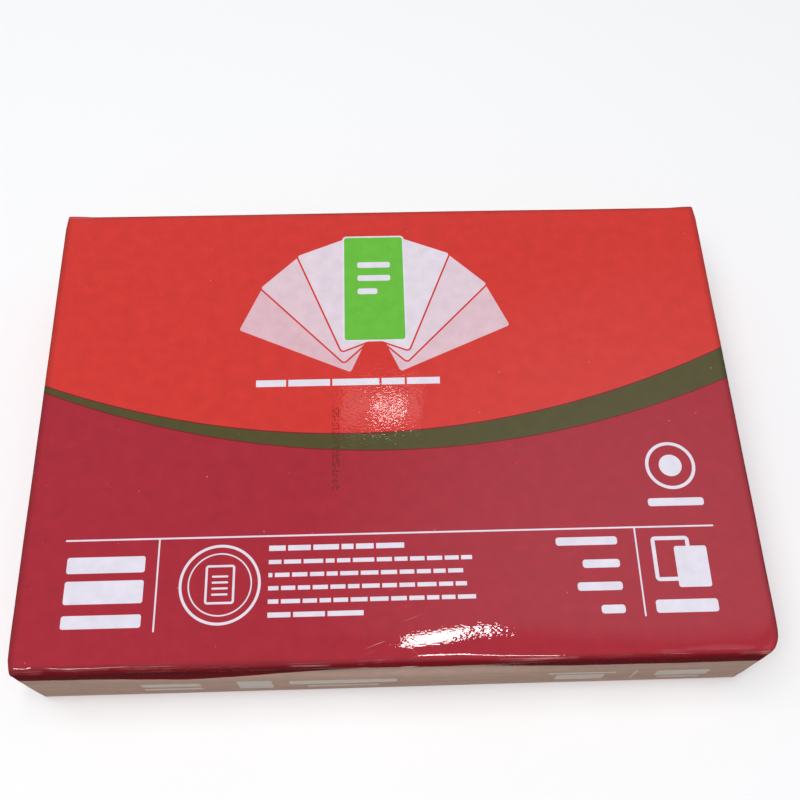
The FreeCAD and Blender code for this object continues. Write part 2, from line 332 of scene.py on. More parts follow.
class Sleeve:
    """The part of the sheet that goes round the pack, out to where the ends are folded in."""

    def __init__(self, sheet):
        share = np.linspace(-1, 1, STATIONS + 1)
        x = share * HALF_LENGTH
        roll = uneven(FRONT_ROLL, ROLL_CHANGE, x, 1.5)
        run = uneven(SHOULDER_RUN, RUN_CHANGE, x, 2.5)
        back_roll = BACK_ROLL - BACK_ROLL_TIGHTER * ease((np.abs(x) - HALF_LENGTH + 13) / 11)
        runs = round_the_pack(roll, run, back_roll)
        self.run_of = np.concatenate([[name] * runs[name][0].shape[1] for name in runs])
        y, z, self.normal_y, self.normal_z = (np.hstack([run[k] for run in runs.values()]) for k in range(4))

        steps = np.hypot(np.diff(y, axis=1), np.diff(z, axis=1))
        v = np.hstack([np.zeros((len(x), 1)), np.cumsum(steps, axis=1)])
        top = np.flatnonzero(self.run_of == "top")[0]
        self.v = v - v[:, [top]] + y[:, [top]]
        self.corners = self.corner_columns()

        ends = {side: self.end_of(side, y[0 if side < 0 else -1]) for side in (-1, 1)}
        limits = np.where(share[:, None] < 0, ends[-1][0] - ends[-1][1], ends[1][0] - ends[1][1])
        self.x = share[:, None] * limits
        sink = self.sink(z)
        self.y, self.z = y - self.normal_y * sink, z - self.normal_z * sink

        wear = self.long_fold_wear()
        middle = sheet.add(np.stack([self.x, self.y, self.z], -1), np.stack([self.x, self.v], -1), wear)
        left = [sheet.add(*self.fold_row(-1, ends[-1], step)) for step in range(FOLD_STEPS, 0, -1)]
        right = [sheet.add(*self.fold_row(1, ends[1], step)) for step in range(1, FOLD_STEPS + 1)]
        numbers = [*left, *middle, *right]
        sheet.join(numbers)
        self.rim = {-1: numbers[0], 1: numbers[-1]}
        self.reach = {side: ends[side][0] for side in ends}
        self.fold = {side: ends[side][1] for side in ends}

    def corner_columns(self):
        """The column in the middle of each rounded long edge, where the folds of an end part."""
        found = {}
        for name in ("front base", "front roll", "back roll", "back base"):
            columns = np.flatnonzero(self.run_of == name)
            tilt = np.abs(np.abs(self.normal_y[0, columns]) - math.sqrt(0.5))
            found[name] = int(columns[np.argmin(tilt)])
        return found

    def end_of(self, side, y):
        """For each column, how far out the end lies and the radius of the fold that leads to it."""
        v = self.v[0 if side < 0 else -1]
        c = self.corners
        level = np.full(len(v), TUCK_LEVEL)
        for first, last, layer in [
            (0, c["front base"], BOTTOM_FLAP_LEVEL),
            (c["front roll"], c["back roll"], TOP_FLAP_LEVEL),
            (c["back base"], len(v) - 1, INNER_LAP_LEVEL),
        ]:
            columns = np.arange(first, last + 1)
            near = np.minimum(
                np.abs(v[columns] - v[first]) if first else np.inf,
                np.abs(v[columns] - v[last]) if last < len(v) - 1 else np.inf,
            )
            level[columns] = TUCK_LEVEL + (layer - TUCK_LEVEL) * ease(near / LAYER_RUN)

        # The fold's radius wanders, and is tighter at the back top corner.
        fold = END_FOLD * (1 + 0.35 * smooth_wave(v, 0.0, 26.0, 4.5 + side))
        fold = fold - 0.45 * bell(v - v[c["back roll"]], 6.0)
        for end, name, pressed in SOFT_CORNERS:
            if end == side:
                near = bell(v - v[c[name]], SOFT_CORNER_REACH)
                level = level - pressed * near
                fold = fold + 0.8 * pressed * near
        return level - pulled_in(side, y), fold

    def place_of_height(self, x, height):
        """Where on the flat sheet, across it, the front side reaches this height at x."""
        station = int(np.argmin(np.abs(self.x.mean(1) - x)))
        columns = np.isin(self.run_of, ["front side", "front roll"])
        return float(np.interp(height, self.z[station, columns], self.v[station, columns]))

    def sink(self, z):
        """How far the sheet lies inside the pack's outline: slack, waves, dents and creases."""
        names = self.run_of
        mean_v = self.v.mean(0)
        knots = [
            ("underside", FOOT_INSET),
            ("front side", SIDE_INSET),
            ("shoulder", TOP_INSET),
            ("top", TOP_INSET),
            ("back side", SIDE_INSET),
            ("inner lap", FOOT_INSET),
        ]
        at, inset = [], []
        for name, depth in knots:
            columns = np.flatnonzero(names == name)
            at += [mean_v[columns[0]], mean_v[columns[-1]]]
            inset += [depth, depth]
        slack = np.interp(mean_v, at, inset)

        # Broad and narrow waves where the sheet is slack, and on the sides the edges of the stack's sheets.
        x, v = self.x, self.v
        waves = 0.15 * smooth_wave(x, v, 72.0, 7.5) + 0.05 * smooth_wave(x, v, 24.0, 8.5)
        on_side = np.isin(names, ["front side", "back side"])
        stack_lines = 0.07 * smooth_wave(x / 14.0, v, 2.6, 9.5) + 0.05 * smooth_wave(x / 30.0, v, 6.0, 10.5)
        sink = slack + waves * np.minimum(1, slack / SIDE_INSET)
        sink = sink + np.where(on_side, stack_lines, 0)
        dents = sum(
            depth * bell(x - place, half) * bell(z - up, half_up)
            for place, half, up, half_up, depth in DENTS
        )
        sink = sink + np.where(names == "front side", dents, 0)
        sink = sink + crease_depth(x, v)
        return np.maximum(sink, 0.0)

    def long_fold_wear(self):
        """How worn the sheet is along the four long edges, from 0 to 1."""
        wear = np.zeros(self.v.shape)
        for name, amount in EDGE_WEAR.items():
            along = self.v[:, [self.corners[name]]]
            wear = np.maximum(wear, amount * bell(self.v - along, 1.5))
        return wear

    def fold_row(self, side, end, step):
        """One row of the fold round an end: points, places on the flat sheet, and wear."""
        reach, fold = end
        station = 0 if side < 0 else -1
        angle = math.pi / 2 * step / FOLD_STEPS
        x = side * (reach - fold + fold * math.sin(angle))
        back = fold * (1 - math.cos(angle))
        y = self.y[station] - self.normal_y[station] * back
        z = self.z[station] - self.normal_z[station] * back
        u = side * (reach - fold + fold * angle)
        wear = np.full(len(x), END_FOLD_WEAR * math.sin(2 * angle) ** 2 if step < FOLD_STEPS else 0.0)
        return np.stack([x, y, z], -1), np.stack([u, self.v[station]], -1), wear


def add_panel(sheet, sleeve, side, columns, tips, level, rows, curls, flat_at):
    """A flap or tuck: the sheet goes on from the columns' rim to the tips, over the end.

    curls says whether its first and last columns are folded edges, which are rounded and turn back.
    flat_at gives the place on the flat sheet of points of the end, as arrays y and z.
    """
    rim_numbers = sleeve.rim[side][columns]
    rim = np.array([sheet.points[k] for k in rim_numbers])
    t = np.linspace(0, 1, rows + 1)[1:, None]
    y = rim[:, 1] + (tips[:, 0] - rim[:, 1]) * t
    z = rim[:, 2] + (tips[:, 1] - rim[:, 2]) * t
    down = np.hypot(y - rim[:, 1], z - rim[:, 2])
    x = rim[:, 0] + (side * (level - pulled_in(side, y)) - rim[:, 0]) * ease(down / LAYER_RUN)
    billow = 0.1 * smooth_wave(y, z, 21.0, 12.5 + side) + 0.05 * smooth_wave(y, z, 7.0, 13.5 + side)
    free_edge = 0.1 * ease((t - 0.8) / 0.2) * (1 + smooth_wave(y, 0.0, 15.0, 14.5 + side + level))
    x = x + side * (billow * ease(down / LAYER_RUN) + free_edge)
    if level == TUCK_LEVEL:
        off_corner = np.hypot(HALF_WIDTH - np.abs(y), np.minimum(z, HEIGHT - z))
        x = x - side * CORNER_DIP * bell(off_corner, 6.0) * ease(down / 2.0)
    x = side * np.minimum(np.abs(x), HALF_LENGTH - 0.01)
    wear = FREE_EDGE_WEAR * bell(1 - t, 0.02) * np.ones(x.shape)

    blocks = [(x, y, z, wear)]
    numbers_of_rim = [rim_numbers]
    for at_first in (True, False):
        if not curls[0 if at_first else 1]:
            continue
        edge, beside = (0, 1) if at_first else (-1, -2)
        out = np.stack([y[:, edge] - y[:, beside], z[:, edge] - z[:, beside]])
        along = np.array([tips[edge, 0] - rim[edge, 1], tips[edge, 1] - rim[edge, 2]])
        along = along / np.linalg.norm(along)
        out = out - np.outer(along, along @ out)
        out = out / np.linalg.norm(out, axis=0)
        row = np.arange(1, rows + 1)
        radius = EDGE_CURL * ease(row / CURL_ROWS)
        web = WEB_LEAST + (WEB_DEPTH - WEB_LEAST) * ease((row - WEB_FIRST_ROW) / WEB_ROWS)
        turns = []
        for angle in np.radians(CURL_ANGLES):
            reach, drop = radius * math.sin(angle), radius * (1 - math.cos(angle))
            turns.append(
                (x[:, edge] - side * drop, y[:, edge] + out[0] * reach, z[:, edge] + out[1] * reach)
            )
        x_back, y_back, z_back = turns[-1]
        turns.append((x_back, y_back - out[0] * web, z_back - out[1] * web))
        if at_first:
            turns.reverse()
        block = [np.stack(part, -1) for part in zip(*turns)]
        worn = np.tile([FOLDED_EDGE_WEAR] * len(CURL_ANGLES) + [0], (rows, 1))
        entry = (*block, worn[:, ::-1] if at_first else worn)
        corner = np.full(len(turns), rim_numbers[edge])
        blocks = [entry, *blocks] if at_first else [*blocks, entry]
        numbers_of_rim = [corner, *numbers_of_rim] if at_first else [*numbers_of_rim, corner]

    x, y, z, wear = (np.hstack([block[k] for block in blocks]) for k in range(4))
    numbers = sheet.add(np.stack([x, y, z], -1), flat_at(y, z), wear)
    sheet.join([np.concatenate(numbers_of_rim), *numbers], flipped=side < 0)


def fold_end(sheet, sleeve, side):
    """Shuts one end of the pack: side tucks, then the bottom flap up, then the top flap down over it."""
    c = sleeve.corners
    station = 0 if side < 0 else -1
    v, y, z = sleeve.v[station], sleeve.y[station], sleeve.z[station]
    reach, fold = sleeve.reach[side], sleeve.fold[side]
    bend = reach - fold + fold * math.pi / 2
    last = len(v) - 1
    tip_half = HALF_WIDTH - FLAP_DEPTH

    def unrolled(columns, depth, along, py):
        """Places on the flat sheet of points that lie depth beyond the fold, at py on the pack."""
        square = (bend[columns] + pulled_in(side, y[columns])).mean()
        return np.stack([side * (square - pulled_in(side, py) + depth), along], -1)

    front = np.arange(c["front base"], c["front roll"] + 1)
    back = np.arange(c["back roll"], c["back base"] + 1)
    for columns, facing in ((front, -1), (back, 1)):
        tips = np.stack(
            [
                np.full(len(columns), facing * (HALF_WIDTH - TUCK_DEPTH)),
                np.clip(z[columns], TUCK_CLEAR, HEIGHT - TUCK_CLEAR),
            ],
            -1,
        )
        order = columns if facing < 0 else columns[::-1]

        def flat_at(py, pz, order=order, columns=columns, facing=facing):
            along = np.interp(pz, z[order], v[order])
            return unrolled(columns, HALF_WIDTH - END_FOLD - facing * py, along, py)

        add_panel(sheet, sleeve, side, columns, tips, TUCK_LEVEL, TUCK_ROWS, (False, False), flat_at)

    outer = np.arange(0, c["front base"] + 1)
    inner = np.arange(c["back base"], last + 1)
    for columns, level, curls, tip_start, tip_end in (
        (outer, BOTTOM_FLAP_LEVEL, (False, True), LAP_EDGE, -tip_half),
        (inner, INNER_LAP_LEVEL, (True, False), tip_half, LAP_HIDDEN_EDGE),
    ):
        share = (y[columns] - y[columns[0]]) / (y[columns[-1]] - y[columns[0]])
        tips = np.stack([tip_start + (tip_end - tip_start) * share, np.full(len(columns), FLAP_DEPTH)], -1)

        def flat_at(py, pz, columns=columns):
            return unrolled(columns, pz - END_FOLD, np.interp(-py, -y[columns], v[columns]), py)

        add_panel(sheet, sleeve, side, columns, tips, level, FLAP_ROWS, curls, flat_at)

    top = np.arange(c["front roll"], c["back roll"] + 1)
    share = (y[top] - y[top[0]]) / (y[top[-1]] - y[top[0]])
    tips = np.stack([tip_half * (2 * share - 1), np.full(len(top), HEIGHT - FLAP_DEPTH)], -1)

    def flat_on_top_flap(py, pz):
        return unrolled(top, HEIGHT - END_FOLD - pz, py, py)

    add_panel(sheet, sleeve, side, top, tips, TOP_FLAP_LEVEL, FLAP_ROWS, (True, True), flat_on_top_flap)


def fold_the_sheet():
    """The sheet, folded round the pack, and its sleeve."""
    sheet = Sheet()
    sleeve = Sleeve(sheet)
    for side in (-1, 1):
        fold_end(sheet, sleeve, side)
    return sheet, sleeve


def make_wrapper(sheet, materials):
    """The folded sheet as a mesh with its real thickness: printed outside, bare inside and at its edges."""
    mesh = bpy.data.meshes.new("wrapper")
    mesh.from_pydata((np.array(sheet.points) * MM).tolist(), [], sheet.faces)
    flat = np.array(sheet.flat) * MM
    corners = np.array([loop.vertex_index for loop in mesh.loops])
    mesh.uv_layers.new(name="flat_sheet").data.foreach_set("uv", flat[corners].astype(np.float32).ravel())
    wear = mesh.attributes.new("fold_wear", "FLOAT", "POINT")
    wear.data.foreach_set("value", np.array(sheet.wear, np.float32))
    for material in materials:
        mesh.materials.append(material)
    mesh.polygons.foreach_set("use_smooth", [True] * len(mesh.polygons))

    piece = bpy.data.objects.new("folded_wrapper", mesh)
    bpy.context.scene.collection.objects.link(piece)
    thicken = piece.modifiers.new("thickness", "SOLIDIFY")
    thicken.thickness = WRAP * MM
    thicken.offset = -1
    thicken.material_offset = 1
    thicken.material_offset_rim = 1
    bpy.context.view_layer.update()
    depsgraph = bpy.context.evaluated_depsgraph_get()
    solid = bpy.data.meshes.new_from_object(piece.evaluated_get(depsgraph), depsgraph=depsgraph)
    piece.modifiers.clear()
    piece.data = solid
    solid.set_sharp_from_angle(angle=math.radians(SHARP_TURN))
    return piece


# How far a printed edge takes to change, in millimetres.
INK_EDGE = 0.12


class Tree:
    """Adds nodes to one node tree and links them, one call a node."""

    def __init__(self, tree):
        self.tree = tree

    def put(self, value, socket):
        """Links value to socket if it is another node's output, and sets it otherwise."""
        if isinstance(value, bpy.types.NodeSocket):
            self.tree.links.new(value, socket)
        else:
            socket.default_value = value

    def node(self, kind, inputs=None, **settings):
        made = self.tree.nodes.new(kind)
        for name, setting in settings.items():
            setattr(made, name, setting)
        for name, value in (inputs or {}).items():
            self.put(value, made.inputs[name])
        return made

    def math(self, operation, *values, clamp=False):
        made = self.node("ShaderNodeMath", operation=operation, use_clamp=clamp)
        for value, socket in zip(values, made.inputs):
            self.put(value, socket)
        return made.outputs[0]

    def minus(self, first, second):
        return self.math("SUBTRACT", first, second)

    def times(self, first, second, clamp=False):
        return self.math("MULTIPLY", first, second, clamp=clamp)

    def parts(self, vector):
        """A vector's X, Y and Z."""
        return self.node("ShaderNodeSeparateXYZ", {"Vector": vector}).outputs

    def turned(self, place, angle):
        """place, turned by angle about the Z axis."""
        inputs = {"Vector": place, "Angle": angle}
        return self.node("ShaderNodeVectorRotate", inputs, rotation_type="Z_AXIS").outputs[0]

    def vector(self, operation, *values):
        made = self.node("ShaderNodeVectorMath", operation=operation)
        for value, socket in zip(values, made.inputs):
            self.put(value, socket)
        return made.outputs["Value" if operation in ("LENGTH", "DISTANCE", "DOT_PRODUCT") else "Vector"]

    def mix(self, factor, first, second, blend="MIX"):
        """The colour first where factor is 0, and second where it is 1."""
        made = self.node("ShaderNodeMix", data_type="RGBA", blend_type=blend)
        for value, socket in zip((factor, first, second), (made.inputs[0], made.inputs[6], made.inputs[7])):
            self.put(value, socket)
        return made.outputs[2]

    def group(self, tree, output, **inputs):
        """Places a node group and returns one of its outputs. An input's spaces are underscores here."""
        made = self.node("ShaderNodeGroup", node_tree=tree)
        for name, value in inputs.items():
            self.put(value, made.inputs[name.replace("_", " ")])
        return made.outputs[output]

    def ink(self, distance):
        """A mask that is 1 where distance is negative, with a crisp printed edge."""
        return self.math("MULTIPLY_ADD", distance, -1 / INK_EDGE, 0.5, clamp=True)

    def nearest(self, distances):
        """The least of several distances."""
        least = distances[0]
        for distance in distances[1:]:
            least = self.math("MINIMUM", least, distance)
        return least

    def noise(self, place, scale, detail=2.0, roughness=0.5, dimensions="3D"):
        inputs = {"Scale": scale, "Detail": detail, "Roughness": roughness}
        inputs["W" if dimensions == "1D" else "Vector"] = place
        made = self.node("ShaderNodeTexNoise", inputs, noise_dimensions=dimensions)
        return made.outputs[0]

    def band(self, value, low, high, start=0.0, end=1.0):
        """value, brought from the range low to high to the range start to end, and held inside it."""
        inputs = {"Value": value, "From Min": low, "From Max": high, "To Min": start, "To Max": end}
        return self.node("ShaderNodeMapRange", inputs, clamp=True).outputs[0]


ORIGIN = (0, 0, 0)


def new_group(name, output, **inputs):
    """An empty node group that puts out one value: its tree, its inputs, and the output's socket.

    Each input comes with its default, and is a vector where that is one. Underscores stand for spaces.
    """
    tree = bpy.data.node_groups.new(name, "ShaderNodeTree")
    for socket, value in inputs.items():
        kind = "NodeSocketVector" if isinstance(value, tuple) else "NodeSocketFloat"
        made = tree.interface.new_socket(socket.replace("_", " "), in_out="INPUT", socket_type=kind)
        made.default_value = value
    tree.interface.new_socket(output, in_out="OUTPUT", socket_type="NodeSocketFloat")
    start, end = tree.nodes.new("NodeGroupInput"), tree.nodes.new("NodeGroupOutput")
    return Tree(tree), start.outputs, end.inputs[output]


def panel_group():
    """The distance from a turned rectangle with rounded corners. Half size is without the corners."""
    t, given, out = new_group(
        "printed_panel", "Distance", Place=ORIGIN, Centre=ORIGIN, Half_size=(1, 1, 0), Turn=0.0, Corner=0.0
    )
    local = t.vector("SUBTRACT", given["Place"], given["Centre"])
    upright = t.turned(local, t.times(given["Turn"], -1.0))
    over = t.vector("SUBTRACT", t.vector("ABSOLUTE", upright), given["Half size"])
    outside = t.vector("LENGTH", t.vector("MAXIMUM", over, (0, 0, 0)))
    parts = t.parts(over)
    inside = t.math("MINIMUM", t.math("MAXIMUM", parts["X"], parts["Y"]), 0.0)
    t.put(t.minus(t.math("ADD", outside, inside), given["Corner"]), out)
    return t.tree


def block_group():
    """The distance outside an upright rectangle with rounded corners. Half size is without the corners."""
    t, given, out = new_group(
        "printed_block", "Distance", Place=ORIGIN, Centre=ORIGIN, Half_size=(1, 1, 0), Corner=0.0
    )
    away = t.vector("ABSOLUTE", t.vector("SUBTRACT", given["Place"], given["Centre"]))
    outside = t.vector("MAXIMUM", t.vector("SUBTRACT", away, given["Half size"]), (0, 0, 0))
    t.put(t.minus(t.vector("LENGTH", outside), given["Corner"]), out)
    return t.tree


def ring_group():
    """The distance from a ring: its middle line's radius, and half its width."""
    t, given, out = new_group(
        "printed_ring", "Distance", Place=ORIGIN, Centre=ORIGIN, Radius=1.0, Half_width=0.3
    )
    away = t.vector("DISTANCE", given["Place"], given["Centre"])
    off_line = t.math("ABSOLUTE", t.minus(away, given["Radius"]))
    t.put(t.minus(off_line, given["Half width"]), out)
    return t.tree


def print_lines_group():
    """Rows of small plain bars of differing lengths, like lines of print seen from too far to read."""
    sizes = {"Left": 0.0, "Top": 0.0, "Width": 50.0, "Pitch": 5.0, "Height": 2.0}
    t, given, out = new_group("print_lines", "Mask", Place=ORIGIN, **sizes, Rows=4.0, Bar_length=8.0)
    parts = t.parts(given["Place"])
    x = t.minus(parts["X"], given["Left"])
    down = t.math("DIVIDE", t.minus(given["Top"], parts["Y"]), given["Pitch"])
    row = t.math("FLOOR", down)
    off_middle = t.math("ABSOLUTE", t.minus(t.minus(down, row), 0.5))
    off_middle = t.times(off_middle, given["Pitch"])
    mask = t.ink(t.minus(off_middle, t.times(given["Height"], 0.5)))
    inside = t.times(t.math("GREATER_THAN", down, 0.0), t.math("LESS_THAN", down, given["Rows"]))
    seed = t.math("ADD", row, given["Top"])
    ragged = t.node("ShaderNodeTexWhiteNoise", {"W": seed}, noise_dimensions="1D")
    length = t.times(given["Width"], t.band(ragged.outputs[0], 0, 1, 0.84, 1.0))
    inside = t.times(inside, t.math("GREATER_THAN", x, 0.0))
    shift = t.times(row, 7.7)
    along = t.math("ADD", t.math("DIVIDE", x, given["Bar length"]), shift)
    cell = {"W": along, "Scale": 1.0, "Randomness": 0.8}
    bars = t.node("ShaderNodeTexVoronoi", cell, voronoi_dimensions="1D")
    middle = t.times(t.minus(bars.outputs["W"], shift), given["Bar length"])
    inside = t.times(inside, t.math("LESS_THAN", middle, length))
    cells = t.node("ShaderNodeTexVoronoi", cell, voronoi_dimensions="1D", feature="DISTANCE_TO_EDGE")
    from_gap = t.times(cells.outputs["Distance"], given["Bar length"])
    bar = t.ink(t.minus(0.5, from_gap))
    t.put(t.times(t.times(mask, inside), bar), out)
    return t.tree


def dotted_stamp_group():
    """A narrow upright strip of small dots, as a packing line's ink jet leaves: no figures, only dots."""
    t, given, out = new_group(
        "dotted_stamp", "Mask", Place=ORIGIN, Centre=ORIGIN, Half_size=(1, 10, 0), Pitch=0.6
    )
    local = t.vector("SUBTRACT", given["Place"], given["Centre"])
    over = t.vector("SUBTRACT", t.vector("ABSOLUTE", local), given["Half size"])
    parts = t.parts(over)
    inside = t.math("LESS_THAN", t.math("MAXIMUM", parts["X"], parts["Y"]), 0.0)
    scaled = t.node("ShaderNodeVectorMath", {"Vector": local}, operation="SCALE")
    t.put(t.math("DIVIDE", 1.0, given["Pitch"]), scaled.inputs["Scale"])
    cell = t.vector("FLOOR", scaled.outputs["Vector"])
    in_cell = t.vector("SUBTRACT", scaled.outputs["Vector"], cell)
    off = t.vector("LENGTH", t.vector("SUBTRACT", in_cell, (0.5, 0.5, 0)))
    dot = t.band(off, 0.28, 0.42, 1.0, 0.0)
    chance = t.node("ShaderNodeTexWhiteNoise", {"Vector": cell}, noise_dimensions="2D").outputs[0]
    printed = t.math("GREATER_THAN", chance, 0.45)
    t.put(t.times(t.times(dot, printed), inside), out)
    return t.tree


def laminate_group():
    """The film's relief: a stretched pebble texture and broader ripples, in millimetres."""
    t, given, out = new_group("laminate_relief", "Height", Place=ORIGIN, Pebble=0.008, Ripple=0.02)
    stretched = t.vector("MULTIPLY", given["Place"], (0.4, 1.0, 1.0))
    pebble = t.minus(t.noise(stretched, 1.2, 1.0, 0.55), 0.5)
    ripple = t.minus(t.noise(given["Place"], 0.11, 2.0, 0.5), 0.5)
    height = t.times(pebble, given["Pebble"])
    t.put(t.math("MULTIPLY_ADD", ripple, given["Ripple"], height), out)
    return t.tree


def scuff_group():
    """Faint fine scratches, in two directions, where the pack has been slid about."""
    t, given, out = new_group("scuffs", "Mask", Place=ORIGIN, Amount=1.0)
    mask = None
    for angle, stretch, seed in ((0.75, 0.025, 3.0), (-0.35, 0.03, 11.0)):
        long_way = t.vector("MULTIPLY", t.turned(given["Place"], angle), (stretch, 1.0, 1.0))
        lines = t.noise(t.vector("ADD", long_way, (seed, seed, seed)), 1.9, 1.0, 0.5)
        scratch = t.band(lines, 0.70, 0.76)
        patches = t.band(t.noise(t.vector("ADD", given["Place"], (seed, 0, seed)), 0.02, 1.0), 0.5, 0.66)
        scratch = t.times(scratch, patches)
        mask = scratch if mask is None else t.math("MAXIMUM", mask, scratch)
    t.put(t.times(mask, given["Amount"], clamp=True), out)
    return t.tree


def specks_group():
    """Small pale dots, far apart, where the film has lifted or dust is caught under it."""
    t, given, out = new_group("pale_specks", "Mask", Place=ORIGIN, Spacing=20.0, Size=0.35)
    cells = t.node(
        "ShaderNodeTexVoronoi",
        {"Vector": given["Place"], "Scale": t.math("DIVIDE", 1.0, given["Spacing"])},
        voronoi_dimensions="2D",
    )
    away = t.times(cells.outputs["Distance"], given["Spacing"])
    red, green, _ = t.node("ShaderNodeSeparateColor", {"Color": cells.outputs["Color"]}).outputs
    size = t.times(given["Size"], t.band(red, 0, 1, 0.5, 1.5))
    dot = t.band(t.minus(away, size), -0.12, 0.12, 1.0, 0.0)
    t.put(t.times(dot, t.band(green, 0.35, 0.9, 0, 1)), out)
    return t.tree


def fold_wear_and_sheen_group():
    """Rubbed and cracked ink along the folds, with thin painted highlight lines, from the mesh's own wear
    values.
    """
    t, given, out = new_group("fold_wear", "Mask", Place=ORIGIN, Amount=1.0)
    wear = t.node("ShaderNodeAttribute", attribute_name="fold_wear").outputs["Fac"]
    patches = t.band(t.noise(given["Place"], 0.06, 3.0, 0.6), 0.46, 0.72)
    cracks = t.band(t.noise(t.vector("MULTIPLY", given["Place"], (0.35, 1.6, 1.0)), 0.9, 4.0, 0.7), 0.5, 0.7)
    stretched = t.vector("MULTIPLY", given["Place"], (0.02, 0.9, 1.0))
    # Thin long lines along the folds: painted highlights.
    lines = t.band(t.noise(stretched, 1.2, 2.0, 0.5), 0.56, 0.62)
    rubbed = t.math("MAXIMUM", t.times(cracks, 0.4), lines)
    worn = t.times(t.times(wear, patches), rubbed)
    t.put(t.times(worn, given["Amount"], clamp=True), out)
    return t.tree


def fibre_group():
    """The cloudy tooth of uncoated paper."""
    t, given, out = new_group("paper_fibre", "Value", Place=ORIGIN)
    t.put(t.noise(given["Place"], 2.4, 4.0, 0.65), out)
    return t.tree


# The print: places and sizes in millimetres on the flat sheet, whose top face is centred on 0, 0.
# The olive band's two edges are parabolas: curve, slope and height at the middle.
BAND_UPPER = (1.417e-3, 0.0437, -8.57)
BAND_LOWER = (1.382e-3, 0.0036, -16.8)
BAND_LINE = 0.55

# The height on the sides where the top's colour ends and the tan begins. On the front that line rises in
# the middle and drops at the left: by how much, where along the pack, and how wide. Last, how ragged it is.
STRIP_FOOT = 34.8
STRIP_RISE = 6.0
STRIP_RISE_AT = 5.0
STRIP_RISE_WIDTH = 34.0
STRIP_DROP = 6.0
STRIP_DROP_AT = -82.0
STRIP_DROP_WIDTH = 32.0
STRIP_RAGGED = 2.4

# Where painted shade darkens the top's colour towards each long fold, as places across the flat sheet. At
# the front
# it does so sooner on the left: two places along the pack, and how much sooner at each.
FRONT_DARKENS = (-102.8, -105.4)
FRONT_SOONER = (-60.0, 20.0, 1.2, 0.0)
BACK_DARKENS = (102.0, 107.0)

# The same painted shade at the ends, measured outward from the end: where it grows darker, and lighter
# again.
END_DARKENS = (-3.4, 0.3)
END_LIGHTENS = (1.5, 6.0)

# A painted highlight: the broken white line of a glint on a crease just above the strip's foot. How far
# above the strip's foot and where along the pack its middle lies. Each half size is where it starts to fade
# and where it ends.
GLINT_ABOVE = 2.3
GLINT_HALF_WIDTH = (0.7, 1.1)
GLINT_AT = -3.3
GLINT_HALF_LENGTH = (8.5, 11.5)

# The long rule, as place and half sizes, and the dividers, as place and half length.
RULE = (-0.8, -53.1, 131.2, 0.35)
DIVIDERS = [(-94.4, -71.9, 18.6), (97.8, -71.2, 18.2)]
DIVIDER_HALF = 0.33

# A fan of plain sheets of paper: where they would meet, and the tilt of each one.
FAN_PIVOT = (-6.0, 30.0)
FAN_TILTS = (66, -66, 44, -44, 22, -22, 0)
FAN_NEAR, FAN_FAR, FAN_HALF_WIDTH = 6.0, 60.0, 13.5
FAN_OUTLINE = 0.8
FAN_CORNER = 1.2

# The bars on the front sheet of the fan, in line at the left: height over the pivot, half length.
FAN_BARS = [(45.0, 7.5), (38.0, 7.5), (31.0, 4.5)]

# The rows of plain bars on the top face, one entry for each value that the group for them takes.
LINE_INPUTS = ("Left", "Top", "Width", "Pitch", "Height", "Rows", "Bar_length")
PRINT_LINES = [
    (-50.4, -55.7, 62.0, 5.0, 2.2, 1.0, 9.0),
    (-50.4, -61.2, 84.0, 5.3, 1.7, 4.0, 7.0),
    (-50.4, -82.4, 38.0, 5.3, 2.0, 1.0, 12.0),
    (-58.0, 18.4, 104.0, 6.0, 3.2, 1.0, 17.0),
]

# The ink-jet stamp of plain dots.
STAMP = {"Centre": (-23.6, -15.0, 0), "Half_size": (1.7, 19.0, 0), "Pitch": 0.8}

# The pale shapes on the long sides: place along and up, half length, half height, corner.
SIDE_SHAPES = [
    (-92, 17, 12, 3.0, 1.5),
    (-92, 9, 12, 1.6, 1.2),
    (-58, 14, 7, 7.5, 1.2),
    (-22, 16, 22, 3.2, 1.5),
    (-22, 8, 15, 1.5, 1.2),
    (76, 19, 14, 1.2, 1.0),
    (76, 11, 10, 4.6, 1.4),
    (98, 14, 0.4, 7.5, 0.3),
    (118, 15, 11, 4.8, 1.4),
    (118, 6.5, 9, 1.2, 1.0),
]


def rounded(t, group, place, centre, half_size, corner, **turn):
    """The distance from a block or panel, whose half size is given with its rounded corners."""
    half = (half_size[0] - corner, half_size[1] - corner, 0)
    sizes = {"Centre": (*centre, 0), "Half_size": half, "Corner": corner}
    return t.group(group, "Distance", Place=place, **sizes, **turn)


